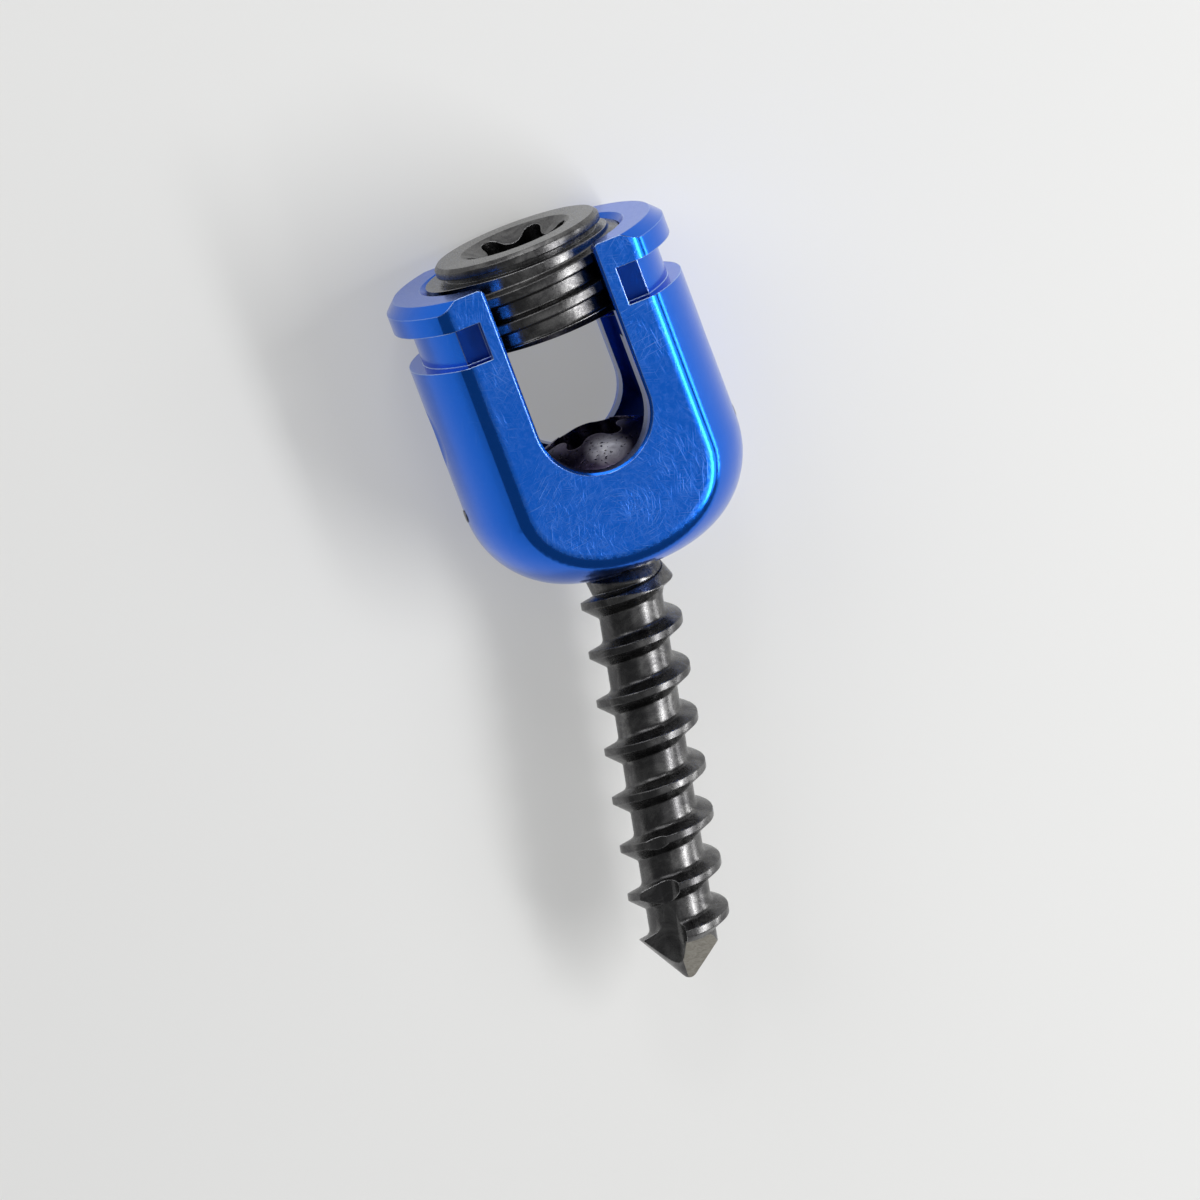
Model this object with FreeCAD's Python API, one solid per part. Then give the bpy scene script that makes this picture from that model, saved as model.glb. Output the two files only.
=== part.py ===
# Polyaxial pedicle screw: a tulip head on the ball of a bone screw, millimetres.
# The screw lies on the rear flat of its head. The origin is on that flat, straight below the centre of the
# ball. +Y runs up the axis of the head, +X across it, and +Z out of the front flat, along the rod.
import FreeCAD, Part
import math
import os

from FreeCAD import Vector

# Bone screw, measured from the centre of the ball along its own axis
BALL_RADIUS = 3.0
BALL_TOP_HEIGHT = 2.2
SCREW_LENGTH = 24.0
NECK_RADIUS = 1.65
NECK_FLARE_RADIUS = 2.0
NECK_FLARE_START = 3.1
NECK_FLARE_MIDDLE = 3.7
NECK_FLARE_END = 4.9
THREAD_START = 3.05
ROOT_RADIUS = 1.62
CREST_RADIUS = 2.4
THREAD_PITCH = 2.44
THREAD_FULL_FROM = 4.25
CREST_WIDTH = 0.36
UPPER_FLANK_DEG = 21.5
LOWER_FLANK_DEG = 35.0
THREAD_PHASE_DEG = 56.0
POINT_HALF_ANGLE_DEG = 41.0
POINT_ROUND_RADIUS = 0.4
FLUTE_LENGTH = 5.5
FLUTE_FLOOR_OFFSET = 0.55
FLUTE_FACE_OFFSET = 0.17
FLUTE_ROUND_RADIUS = 0.9
FLUTE_COUNT = 2
FACET_LENGTH = 2.2
FACET_HALF_ANGLE_DEG = 33.0
FACET_TIP_RADIUS = 0.1
FACET_TURN_DEG = 26.0
BALL_SOCKET_RADIUS = 1.85
BALL_SOCKET_DEPTH = 2.3
SCREW_TILT_DEG = 11.4

# Tulip head, heights measured from the centre of the ball
HEAD_RADIUS = 7.0
FLANGE_RADIUS = 7.1
HEAD_TOP = 13.0
HEAD_BOTTOM = -3.0
HEAD_HALF_DEPTH = 5.05
HEAD_BOTTOM_ROUND = 4.8
FLAT_BLEND_RADIUS = 1.0
FLANGE_HEIGHT = 1.45
FLANGE_CHAMFER = 0.5
GROOVE_HEIGHT = 1.9
GROOVE_RADIUS = 6.3
GROOVE_FLAT_DEPTH = 4.2
GROOVE_STRIP_WIDTH = 0.72
SLOT_HALF_WIDTH = 2.8
SLOT_DEPTH = 10.5
SLOT_EDGE_BEVEL = 0.13
SLOT_CORNER_RADIUS = 0.35
BORE_MOUTH_BEVEL = 0.3
LOWER_BORE_RADIUS = 4.1
THREAD_BORE_DEPTH = 4.9
OPENING_RADIUS = 3.0
OPENING_CONE_DEG = 45.0
NOTCH_WIDTH = 1.8
NOTCH_HEIGHT = 0.45
RECESS_BALL_RADIUS = 4.0
RECESS_DEPTH = 0.3
RECESS_FROM_TOP = 6.9

# Retainer ring between ball and head
RING_OUTER_RADIUS = 3.7
RING_TOP_LATITUDE_DEG = -5.0
RING_BOTTOM_LATITUDE_DEG = -40.0
RING_SPLIT_WIDTH = 0.6

# Pressure insert
INSERT_BOTTOM = 1.32
INSERT_SHOULDER = 2.5
INSERT_DOME_RADIUS = 6.2
INSERT_BORE_RADIUS = 2.35
INSERT_GROOVE_DEPTH = 0.45

# Insert pins
PIN_RADIUS = 0.32
PIN_HEIGHT = 2.0
PIN_PROUD = 0.04

# Set screw
SET_SCREW_RADIUS = 4.9
SET_SCREW_ROOT_RADIUS = 4.4
SET_SCREW_PITCH = 1.4
SET_SCREW_CREST_WIDTH = 0.45
SET_SCREW_FLANK_DEG = 15.0
SET_SCREW_BOTTOM_DEPTH = 3.65
SET_SCREW_PROUD = 0.88
SET_SCREW_DISC_RADIUS = 4.2
SET_SCREW_DISC_HEIGHT = 0.55
SET_SCREW_UNDERCUT_RADIUS = 3.85
SET_SCREW_UNDERCUT_HEIGHT = 0.3
SET_SCREW_EDGE_BEVEL = 0.18
SET_SCREW_LEAD_BEVEL = 0.15
SOCKET_LEAD_RADIUS = 2.8
SOCKET_LEAD_DEG = 28.0
SOCKET_RADIUS = 2.55
SOCKET_DEPTH = 2.6

# Fits
BALL_CLEARANCE = 0.02
SEAT_CLEARANCE = 0.03
INSERT_CLEARANCE = 0.1
PIN_GROOVE_CLEARANCE = 0.04
PIN_HOLE_CLEARANCE = 0.01
SET_SCREW_CLEARANCE = 0.05

# Cutters run past the surfaces that they cut by the margin, and ridges sink into their core by the root depth.
MARGIN = 1.0
FAR = 2 * HEAD_RADIUS
RIDGE_ROOT_DEPTH = 0.3
TOUCH = 0.001

ZERO = Vector(0, 0, 0)
X_AXIS = Vector(1, 0, 0)
Y_AXIS = Vector(0, 1, 0)
Z_AXIS = Vector(0, 0, 1)


def revolve(points):
    """Solid of revolution about Z of a closed profile in the XZ plane."""
    wire = Part.makePolygon([Vector(r, 0, z) for r, z in points] + [Vector(points[0][0], 0, points[0][1])])
    return Part.Face(wire).revolve(ZERO, Z_AXIS, 360)


def revolve_edges(edges):
    """Solid of revolution about Z of a closed profile made of lines and arcs."""
    return Part.Face(Part.Wire(edges)).revolve(ZERO, Z_AXIS, 360)


def line(start, end):
    return Part.makeLine(Vector(start[0], 0, start[1]), Vector(end[0], 0, end[1]))


def arc(start, middle, end):
    points = [Vector(r, 0, z) for r, z in (start, middle, end)]
    return Part.Arc(*points).toShape()


def on_circle(centre, radius, degrees):
    angle = math.radians(degrees)
    return (centre[0] + radius * math.cos(angle), centre[1] + radius * math.sin(angle))


def cylinder(radius, bottom, top):
    return Part.makeCylinder(radius, top - bottom, Vector(0, 0, bottom))


def box(x_low, x_high, y_low, y_high, z_low, z_high):
    return Part.makeBox(x_high - x_low, y_high - y_low, z_high - z_low, Vector(x_low, y_low, z_low))


def single_solid(shape):
    """The shape with leftover seams removed, as one solid."""
    clean = shape.removeSplitter()
    return clean.Solids[0] if len(clean.Solids) == 1 else clean


def hexalobe(outer_radius, bottom, top):
    """Prism of a six-lobed driver socket: lobes and waists of one radius each, tangent to each other."""
    lobe = outer_radius * 0.2
    lobe_centre = outer_radius - lobe
    waist = outer_radius * 0.29
    half_step = math.radians(30)
    # The waist circle touches both neighbouring lobe circles.
    reach = lobe + waist
    along = lobe_centre * math.cos(half_step)
    across = lobe_centre * math.sin(half_step)
    waist_centre = along + math.sqrt(reach ** 2 - across ** 2)
    edges = []
    for index in range(6):
        lobe_angle = math.radians(60 * index)
        lobe_at = Vector(math.cos(lobe_angle), math.sin(lobe_angle), 0) * lobe_centre
        tip = Vector(math.cos(lobe_angle), math.sin(lobe_angle), 0) * outer_radius
        touches = []
        for side in (-1, 1):
            waist_angle = lobe_angle + side * half_step
            waist_at = Vector(math.cos(waist_angle), math.sin(waist_angle), 0) * waist_centre
            touches.append(lobe_at + (waist_at - lobe_at) * (lobe / reach))
        edges.append(Part.Arc(touches[0], tip, touches[1]).toShape())
        waist_angle = lobe_angle + half_step
        waist_direction = Vector(math.cos(waist_angle), math.sin(waist_angle), 0)
        next_angle = math.radians(60 * (index + 1))
        next_at = Vector(math.cos(next_angle), math.sin(next_angle), 0) * lobe_centre
        waist_at = waist_direction * waist_centre
        next_touch = next_at + (waist_at - next_at) * (lobe / reach)
        edges.append(Part.Arc(touches[1], waist_direction * (waist_centre - waist), next_touch).toShape())
    face = Part.Face(Part.Wire(edges))
    face.translate(Vector(0, 0, bottom))
    return face.extrude(Vector(0, 0, top - bottom))


def helical_ridge(pitch, turns, bottom, section, phase_deg):
    """Solid ridge swept up a right-hand helix. section holds (radius, height) corners about the path."""
    path_radius = max(radius for radius, height in section)
    cone_angle = 0
    path = Part.makeLongHelix(pitch, pitch * turns, path_radius, cone_angle)
    corners = [Vector(radius, 0, height) for radius, height in section]
    profile = Part.makePolygon(corners + [corners[0]])
    sweep = Part.BRepOffsetAPI.MakePipeShell(Part.Wire(path.Edges))
    sweep.setFrenetMode(True)
    sweep.add(profile)
    sweep.build()
    sweep.makeSolid()
    ridge = sweep.shape()
    ridge.rotate(ZERO, Z_AXIS, phase_deg)
    ridge.translate(Vector(0, 0, bottom))
    return ridge


def body_blank(top):
    """Turned body of the head with a large rounding round the bottom."""
    blank = cylinder(HEAD_RADIUS, HEAD_BOTTOM, top)
    rim = [edge for edge in blank.Edges
           if edge.BoundBox.ZMax < HEAD_BOTTOM + TOUCH and edge.BoundBox.XLength > HEAD_RADIUS]
    return blank.makeFillet(HEAD_BOTTOM_ROUND, rim)


def flange_blank(bottom):
    """Turned flange with a chamfer round its top."""
    return revolve([
        (0, bottom), (FLANGE_RADIUS, bottom), (FLANGE_RADIUS, HEAD_TOP - FLANGE_CHAMFER),
        (FLANGE_RADIUS - FLANGE_CHAMFER, HEAD_TOP), (0, HEAD_TOP),
    ])


def with_flats(blank):
    """The blank with a flat at the front and rear, blended into the turned side."""
    for side in (-1, 1):
        low, high = sorted((side * HEAD_HALF_DEPTH, side * FAR))
        blank = blank.cut(box(-FAR, FAR, low, high, HEAD_BOTTOM - MARGIN, HEAD_TOP + MARGIN))
    return blank.makeFillet(FLAT_BLEND_RADIUS, flat_outline_edges(blank))


def make_tulip():
    groove_middle = HEAD_TOP - FLANGE_HEIGHT - GROOVE_HEIGHT / 2
    blank = with_flats(body_blank(groove_middle)).fuse(with_flats(flange_blank(groove_middle)))
    blank = blank.cut(instrument_groove())
    blank = blank.cut(slot_cutter())
    blank = blank.cut(inner_bores())
    blank = blank.cut(rim_notch())
    for side in (-1, 1):
        blank = blank.cut(side_recess(side))
        blank = blank.cut(pin_hole(side))
    return single_solid(blank)


def flat_outline_edges(blank):
    """Edges where the two flats meet the turned side and the rounded bottom, without the straight ends."""
    edges = []
    for edge in blank.Edges:
        bounds = edge.BoundBox
        on_flat = abs(abs(bounds.YMin) - HEAD_HALF_DEPTH) < TOUCH and bounds.YLength < TOUCH
        if on_flat and bounds.ZLength > TOUCH and bounds.ZMax < HEAD_TOP - FLANGE_CHAMFER + TOUCH:
            edges.append(edge)
    return edges


def instrument_groove():
    """Turned groove under the flange, squared off by a flat pocket at each arm beside the slot strip."""
    top = HEAD_TOP - FLANGE_HEIGHT
    bottom = top - GROOVE_HEIGHT
    reach = FLANGE_RADIUS + MARGIN
    ring = cylinder(reach, bottom, top).cut(cylinder(GROOVE_RADIUS, bottom - MARGIN, top + MARGIN))
    strip = SLOT_HALF_WIDTH + GROOVE_STRIP_WIDTH
    ring = ring.cut(box(-strip, strip, -FAR, FAR, bottom - MARGIN, top + MARGIN))
    for x_side in (-1, 1):
        for y_side in (-1, 1):
            x_low, x_high = sorted((x_side * strip, x_side * reach))
            y_low, y_high = sorted((y_side * GROOVE_FLAT_DEPTH, y_side * reach))
            ring = ring.fuse(box(x_low, x_high, y_low, y_high, bottom, top))
    return ring


def slot_wire(half_width, y):
    """Outline of the U slot at one depth, open end above the head."""
    centre_height = HEAD_TOP - SLOT_DEPTH + SLOT_HALF_WIDTH
    above = HEAD_TOP + 2 * MARGIN
    left = Vector(-half_width, y, centre_height)
    right = Vector(half_width, y, centre_height)
    lowest = Vector(0, y, centre_height - half_width)
    return Part.Wire([
        Part.makeLine(Vector(-half_width, y, above), left),
        Part.Arc(left, lowest, right).toShape(),
        Part.makeLine(right, Vector(half_width, y, above)),
        Part.makeLine(Vector(half_width, y, above), Vector(-half_width, y, above)),
    ])


def slot_cutter():
    reach = HEAD_RADIUS + MARGIN
    cutter = Part.Face(slot_wire(SLOT_HALF_WIDTH, -reach)).extrude(Vector(0, 2 * reach, 0))
    wide = SLOT_HALF_WIDTH + SLOT_EDGE_BEVEL
    for side in (-1, 1):
        outside = slot_wire(wide, side * HEAD_HALF_DEPTH)
        inside = slot_wire(SLOT_HALF_WIDTH, side * (HEAD_HALF_DEPTH - SLOT_EDGE_BEVEL))
        cutter = cutter.fuse(Part.makeLoft([outside, inside], True, True))
    # Rounded top corners of the arms along the slot
    for side in (-1, 1):
        x_low, x_high = sorted((side * SLOT_HALF_WIDTH, side * (SLOT_HALF_WIDTH + SLOT_CORNER_RADIUS)))
        centre_height = HEAD_TOP - SLOT_CORNER_RADIUS
        corner = box(x_low, x_high, -reach, reach, centre_height, HEAD_TOP + MARGIN)
        centre = Vector(side * (SLOT_HALF_WIDTH + SLOT_CORNER_RADIUS), -FAR, centre_height)
        rounding = Part.makeCylinder(SLOT_CORNER_RADIUS, 2 * FAR, centre, Y_AXIS)
        cutter = cutter.fuse(corner.cut(rounding))
    return cutter


def inner_bores():
    """Thread bore, insert bore, spherical ring seat and the flared opening for the neck."""
    thread_bore = SET_SCREW_RADIUS + SET_SCREW_CLEARANCE
    above = HEAD_TOP + MARGIN
    bores = cylinder(thread_bore, HEAD_TOP - THREAD_BORE_DEPTH, above)
    mouth = thread_bore + BORE_MOUTH_BEVEL
    bores = bores.fuse(revolve([(0, HEAD_TOP - BORE_MOUTH_BEVEL), (thread_bore, HEAD_TOP - BORE_MOUTH_BEVEL),
                                (mouth, HEAD_TOP), (mouth, above), (0, above)]))
    bores = bores.fuse(cylinder(LOWER_BORE_RADIUS, INSERT_BOTTOM - SEAT_CLEARANCE, HEAD_TOP))
    seat_radius = RING_OUTER_RADIUS + SEAT_CLEARANCE
    edge_height = -math.sqrt(seat_radius ** 2 - OPENING_RADIUS ** 2)
    seat = Part.makeSphere(seat_radius).cut(box(-FAR, FAR, -FAR, FAR, -FAR, edge_height))
    bores = bores.fuse(seat)
    below = edge_height - HEAD_BOTTOM + MARGIN
    flare = below * math.tan(math.radians(OPENING_CONE_DEG))
    inside = edge_height + seat_radius - OPENING_RADIUS
    return bores.fuse(revolve([(0, inside), (OPENING_RADIUS, inside), (OPENING_RADIUS, edge_height),
                               (OPENING_RADIUS + flare, edge_height - below), (0, edge_height - below)]))


def rim_notch():
    """Small step milled into the front of the bottom rim."""
    centre_x = -0.4
    return box(centre_x - NOTCH_WIDTH / 2, centre_x + NOTCH_WIDTH / 2, -HEAD_RADIUS, -OPENING_RADIUS,
               HEAD_BOTTOM - MARGIN, HEAD_BOTTOM + NOTCH_HEIGHT)


def side_recess(side):
    """Ball that leaves a shallow round dimple for an instrument in the side of an arm."""
    centre = Vector(side * (HEAD_RADIUS - RECESS_DEPTH + RECESS_BALL_RADIUS), 0, HEAD_TOP - RECESS_FROM_TOP)
    return Part.makeSphere(RECESS_BALL_RADIUS, centre)


def pin_hole(side):
    start = Vector(side * insert_groove_radius(), 0, PIN_HEIGHT)
    return Part.makeCylinder(PIN_RADIUS + PIN_HOLE_CLEARANCE, HEAD_RADIUS, start, X_AXIS * side)


def insert_groove_radius():
    return LOWER_BORE_RADIUS - INSERT_CLEARANCE - INSERT_GROOVE_DEPTH


def make_insert_pin(side):
    """Pin pressed into the side of the head. Its inner end runs in the groove of the insert."""
    inner = insert_groove_radius() + INSERT_CLEARANCE
    outer = HEAD_RADIUS + PIN_PROUD
    start = Vector(side * inner, 0, PIN_HEIGHT)
    return Part.makeCylinder(PIN_RADIUS, outer - inner, start, X_AXIS * side)


def make_insert():
    """Cup that seats on the ball, with a domed top for the rod and a lobed bore for the driver."""
    outer = LOWER_BORE_RADIUS - INSERT_CLEARANCE
    groove = insert_groove_radius()
    groove_low = PIN_HEIGHT - PIN_RADIUS - PIN_GROOVE_CLEARANCE
    groove_high = PIN_HEIGHT + PIN_RADIUS + PIN_GROOVE_CLEARANCE
    dome_centre = (0, INSERT_SHOULDER - math.sqrt(INSERT_DOME_RADIUS ** 2 - outer ** 2))
    dome_top = (0, dome_centre[1] + INSERT_DOME_RADIUS)
    shoulder = (outer, INSERT_SHOULDER)
    shoulder_deg = math.degrees(math.acos(outer / INSERT_DOME_RADIUS))
    body = revolve_edges([
        line((0, INSERT_BOTTOM), (outer, INSERT_BOTTOM)),
        line((outer, INSERT_BOTTOM), (outer, groove_low)),
        line((outer, groove_low), (groove, groove_low)),
        line((groove, groove_low), (groove, groove_high)),
        line((groove, groove_high), (outer, groove_high)),
        line((outer, groove_high), shoulder),
        arc(shoulder, on_circle(dome_centre, INSERT_DOME_RADIUS, (shoulder_deg + 90) / 2), dome_top),
        line(dome_top, (0, INSERT_BOTTOM)),
    ])
    body = body.cut(Part.makeSphere(BALL_RADIUS + SEAT_CLEARANCE))
    body = body.cut(hexalobe(INSERT_BORE_RADIUS, 0, dome_top[1] + MARGIN))
    return single_solid(body)


def make_retainer_ring():
    """Split ring, spherical inside and outside, closed round the ball below its middle."""
    inner = BALL_RADIUS + BALL_CLEARANCE
    outer = RING_OUTER_RADIUS
    top = RING_TOP_LATITUDE_DEG
    bottom = RING_BOTTOM_LATITUDE_DEG
    middle = (top + bottom) / 2
    centre = (0, 0)
    ring = revolve_edges([
        line(on_circle(centre, inner, top), on_circle(centre, outer, top)),
        arc(on_circle(centre, outer, top), on_circle(centre, outer, middle), on_circle(centre, outer, bottom)),
        line(on_circle(centre, outer, bottom), on_circle(centre, inner, bottom)),
        arc(on_circle(centre, inner, bottom), on_circle(centre, inner, middle), on_circle(centre, inner, top)),
    ])
    half = RING_SPLIT_WIDTH / 2
    return single_solid(ring.cut(box(-half, half, 0, FAR, -FAR, FAR)))


def cone_apex():
    """Height where the cone of the point would end without its rounded tip."""
    return -SCREW_LENGTH - POINT_ROUND_RADIUS / math.sin(math.radians(POINT_HALF_ANGLE_DEG)) + POINT_ROUND_RADIUS


def thread_trims():
    """Rings outside the turned outline of the thread: one at the run-in, one round the point."""
    point = cone_apex()
    slope = math.tan(math.radians(POINT_HALF_ANGLE_DEG))
    far = CREST_RADIUS + MARGIN
    buried = ROOT_RADIUS - 2 * RIDGE_ROOT_DEPTH
    run_in_slope = (THREAD_FULL_FROM - THREAD_START) / (CREST_RADIUS - NECK_RADIUS)
    run_in = revolve([
        (buried, -THREAD_START + (NECK_RADIUS - buried) * run_in_slope),
        (far, -THREAD_FULL_FROM - (far - CREST_RADIUS) * run_in_slope),
        (far, THREAD_PITCH), (buried, THREAD_PITCH),
    ])
    round_point = revolve([
        (0, point - 2 * THREAD_PITCH), (far, point - 2 * THREAD_PITCH),
        (far, point + far / slope), (0, point),
    ])
    return [run_in, round_point]


def shank_core():
    """Ball, neck and root of the thread, with a rounded point."""
    slope = math.tan(math.radians(POINT_HALF_ANGLE_DEG))
    neck_top = -math.sqrt(BALL_RADIUS ** 2 - NECK_RADIUS ** 2)
    tip_centre = (0, -SCREW_LENGTH + POINT_ROUND_RADIUS)
    cone_end = on_circle(tip_centre, POINT_ROUND_RADIUS, -POINT_HALF_ANGLE_DEG)
    tip_middle = on_circle(tip_centre, POINT_ROUND_RADIUS, -(90 + POINT_HALF_ANGLE_DEG) / 2)
    inside = neck_top + NECK_RADIUS / 2
    corners = [
        (0, inside), (NECK_RADIUS, inside), (NECK_RADIUS, -NECK_FLARE_START),
        (NECK_FLARE_RADIUS, -NECK_FLARE_MIDDLE), (ROOT_RADIUS, -NECK_FLARE_END),
        (ROOT_RADIUS, cone_apex() + ROOT_RADIUS / slope),
        cone_end,
    ]
    edges = [line(start, end) for start, end in zip(corners, corners[1:])]
    edges.append(arc(cone_end, tip_middle, (0, -SCREW_LENGTH)))
    edges.append(line((0, -SCREW_LENGTH), corners[0]))
    neck = revolve_edges(edges)
    ball = Part.makeSphere(BALL_RADIUS)
    ball = ball.cut(box(-FAR, FAR, -FAR, FAR, BALL_TOP_HEIGHT, FAR))
    return ball.fuse(neck)


def bone_thread():
    height = CREST_RADIUS - ROOT_RADIUS
    buried = RIDGE_ROOT_DEPTH
    rise = math.tan(math.radians(UPPER_FLANK_DEG))
    fall = math.tan(math.radians(LOWER_FLANK_DEG))
    half = CREST_WIDTH / 2
    section = [
        (ROOT_RADIUS - buried, half + (height + buried) * rise),
        (CREST_RADIUS, half),
        (CREST_RADIUS, -half),
        (ROOT_RADIUS - buried, -half - (height + buried) * fall),
    ]
    turns = (SCREW_LENGTH - THREAD_START) / THREAD_PITCH + 1
    return helical_ridge(THREAD_PITCH, turns, -SCREW_LENGTH - THREAD_PITCH / 2, section, THREAD_PHASE_DEG)


def flute_cutter(index):
    """Ground flute: a radial cutting face and a hollow floor that runs out up the shank."""
    far = CREST_RADIUS + 2 * MARGIN
    floor = FLUTE_FLOOR_OFFSET
    face = FLUTE_FACE_OFFSET
    corner = FLUTE_ROUND_RADIUS
    length = FLUTE_LENGTH + 3 * MARGIN
    arc_mid = Vector(-face - corner * (1 - math.cos(math.radians(45))),
                     -floor - corner * (1 - math.sin(math.radians(45))), 0)
    wire = Part.Wire([
        Part.makeLine(Vector(-face, -far, 0), Vector(-face, -floor - corner, 0)),
        Part.Arc(Vector(-face, -floor - corner, 0), arc_mid, Vector(-face - corner, -floor, 0)).toShape(),
        Part.makeLine(Vector(-face - corner, -floor, 0), Vector(-far, 0, 0)),
        Part.makeLine(Vector(-far, 0, 0), Vector(-far, -far, 0)),
        Part.makeLine(Vector(-far, -far, 0), Vector(-face, -far, 0)),
    ])
    cutter = Part.Face(wire).extrude(Vector(0, 0, length))
    # The floor leaves the root of the thread at the upper end of the flute.
    lean = math.degrees(math.atan((ROOT_RADIUS - floor) / FLUTE_LENGTH))
    cutter.rotate(ZERO, X_AXIS, lean)
    cutter.translate(Vector(0, 0, -SCREW_LENGTH))
    cutter.rotate(ZERO, Z_AXIS, 360.0 / FLUTE_COUNT * index)
    return cutter


def point_facet(index):
    """Half space outside one ground facet of the point."""
    size = CREST_RADIUS * 3
    slab = box(0, size, -size, size, 0, FACET_LENGTH + MARGIN)
    slope = FACET_HALF_ANGLE_DEG
    slab.rotate(ZERO, Y_AXIS, slope)
    slab.translate(Vector(FACET_TIP_RADIUS, 0, 0))
    slab = slab.common(box(-size, size, -size, size, -MARGIN, FACET_LENGTH))
    slab.translate(Vector(0, 0, -SCREW_LENGTH))
    slab.rotate(ZERO, Z_AXIS, -90 + FACET_TURN_DEG + 360.0 / FLUTE_COUNT * index)
    return slab


def make_bone_screw():
    """Ball, neck, coarse bone thread and self-tapping point in one piece."""
    thread = bone_thread()
    for trim in thread_trims():
        thread = thread.cut(trim)
    screw = shank_core().fuse(thread)
    for index in range(FLUTE_COUNT):
        screw = screw.cut(flute_cutter(index))
        screw = screw.cut(point_facet(index))
    socket_floor = BALL_TOP_HEIGHT - BALL_SOCKET_DEPTH
    screw = screw.cut(hexalobe(BALL_SOCKET_RADIUS, socket_floor, BALL_TOP_HEIGHT + MARGIN))
    return single_solid(screw)


def make_set_screw():
    """Threaded plug with a proud disc, an undercut below it and a hexalobular socket."""
    bottom = HEAD_TOP - SET_SCREW_BOTTOM_DEPTH
    top = HEAD_TOP + SET_SCREW_PROUD
    disc_low = top - SET_SCREW_DISC_HEIGHT
    undercut_low = disc_low - SET_SCREW_UNDERCUT_HEIGHT
    thread_top = undercut_low
    root = SET_SCREW_ROOT_RADIUS
    bevel = SET_SCREW_EDGE_BEVEL
    core = revolve([
        (0, bottom), (root, bottom), (root, thread_top),
        (SET_SCREW_UNDERCUT_RADIUS, thread_top), (SET_SCREW_UNDERCUT_RADIUS, disc_low),
        (SET_SCREW_DISC_RADIUS, disc_low), (SET_SCREW_DISC_RADIUS, top - bevel),
        (SET_SCREW_DISC_RADIUS - bevel, top), (0, top),
    ])
    crest = SET_SCREW_RADIUS
    half = SET_SCREW_CREST_WIDTH / 2
    spread = math.tan(math.radians(SET_SCREW_FLANK_DEG))
    buried = RIDGE_ROOT_DEPTH
    depth = crest - root + buried
    section = [
        (root - buried, half + depth * spread),
        (crest, half),
        (crest, -half),
        (root - buried, -half - depth * spread),
    ]
    turns = (thread_top - bottom) / SET_SCREW_PITCH + 1.5
    ridge = helical_ridge(SET_SCREW_PITCH, turns, bottom - SET_SCREW_PITCH * 0.75, section, 0)
    far = crest + MARGIN
    ridge = ridge.cut(cylinder(far, thread_top, thread_top + 3 * SET_SCREW_PITCH))
    ridge = ridge.cut(cylinder(far, bottom - 3 * SET_SCREW_PITCH, bottom))
    plug = core.fuse(ridge)
    bevel_start = root - SET_SCREW_LEAD_BEVEL
    plug = plug.cut(revolve([(bevel_start - MARGIN, bottom - MARGIN), (far, bottom - MARGIN),
                             (far, bottom + far - bevel_start), (bevel_start, bottom)]))
    lead_depth = SOCKET_LEAD_RADIUS * math.tan(math.radians(SOCKET_LEAD_DEG))
    plug = plug.cut(revolve([(0, top - lead_depth), (SOCKET_LEAD_RADIUS, top),
                             (SOCKET_LEAD_RADIUS, top + MARGIN), (0, top + MARGIN)]))
    plug = plug.cut(hexalobe(SOCKET_RADIUS, top - SOCKET_DEPTH, top + MARGIN))
    return single_solid(plug)


def lay_down(shape):
    """Turn a shape from the head's own upright frame to the way the screw lies."""
    laid = shape.copy()
    laid.rotate(ZERO, X_AXIS, -90)
    laid.translate(Vector(0, 0, HEAD_HALF_DEPTH))
    return laid


def tilt_with_shank(shape):
    """Swing a shape about the rod's direction, so that the point moves to -X."""
    tilted = shape.copy()
    tilted.rotate(ZERO, Y_AXIS, SCREW_TILT_DEG)
    return tilted


def main():
    pieces = {
        "tulip": make_tulip(),
        "set_screw": make_set_screw(),
        "pressure_insert": make_insert(),
        "insert_pin_left": make_insert_pin(-1),
        "insert_pin_right": make_insert_pin(1),
        "retainer_ring": tilt_with_shank(make_retainer_ring()),
        "bone_screw": tilt_with_shank(make_bone_screw()),
    }
    os.makedirs("parts", exist_ok=True)
    for name, shape in pieces.items():
        laid = lay_down(shape)
        print(name, laid.ShapeType, "valid", laid.isValid(), "volume", round(laid.Volume, 3))
        laid.exportStep("parts/" + name + ".step")


main()
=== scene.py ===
"""Looks of the polyaxial pedicle screw: finer screws, materials, light and camera round the part.

The screw lies on the rear flat of its head. +Y runs up the head's axis, +Z out of its front flat, so the
camera looks down on it. The frame is in metres, and the sizes below are in millimetres and degrees.
"""

import math

import bmesh
import bpy
from mathutils import Matrix, Vector


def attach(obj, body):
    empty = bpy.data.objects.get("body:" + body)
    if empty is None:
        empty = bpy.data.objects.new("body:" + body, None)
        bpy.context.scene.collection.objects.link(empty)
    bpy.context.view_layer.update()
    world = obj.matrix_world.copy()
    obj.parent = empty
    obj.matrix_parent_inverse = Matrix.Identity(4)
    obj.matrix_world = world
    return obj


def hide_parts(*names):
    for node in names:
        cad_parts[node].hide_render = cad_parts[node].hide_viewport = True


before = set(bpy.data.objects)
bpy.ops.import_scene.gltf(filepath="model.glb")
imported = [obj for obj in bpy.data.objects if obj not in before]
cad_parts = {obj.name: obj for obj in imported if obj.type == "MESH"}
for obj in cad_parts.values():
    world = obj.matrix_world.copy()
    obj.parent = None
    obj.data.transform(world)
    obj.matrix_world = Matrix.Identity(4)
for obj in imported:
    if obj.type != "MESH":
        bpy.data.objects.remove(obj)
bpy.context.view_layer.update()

MM = 0.001
HEAD_HALF_DEPTH = 5.05
BALL_CENTRE = Vector((0, 0, HEAD_HALF_DEPTH * MM))
HEAD_MIDDLE = Vector((0, 0.005, HEAD_HALF_DEPTH * MM))

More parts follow.
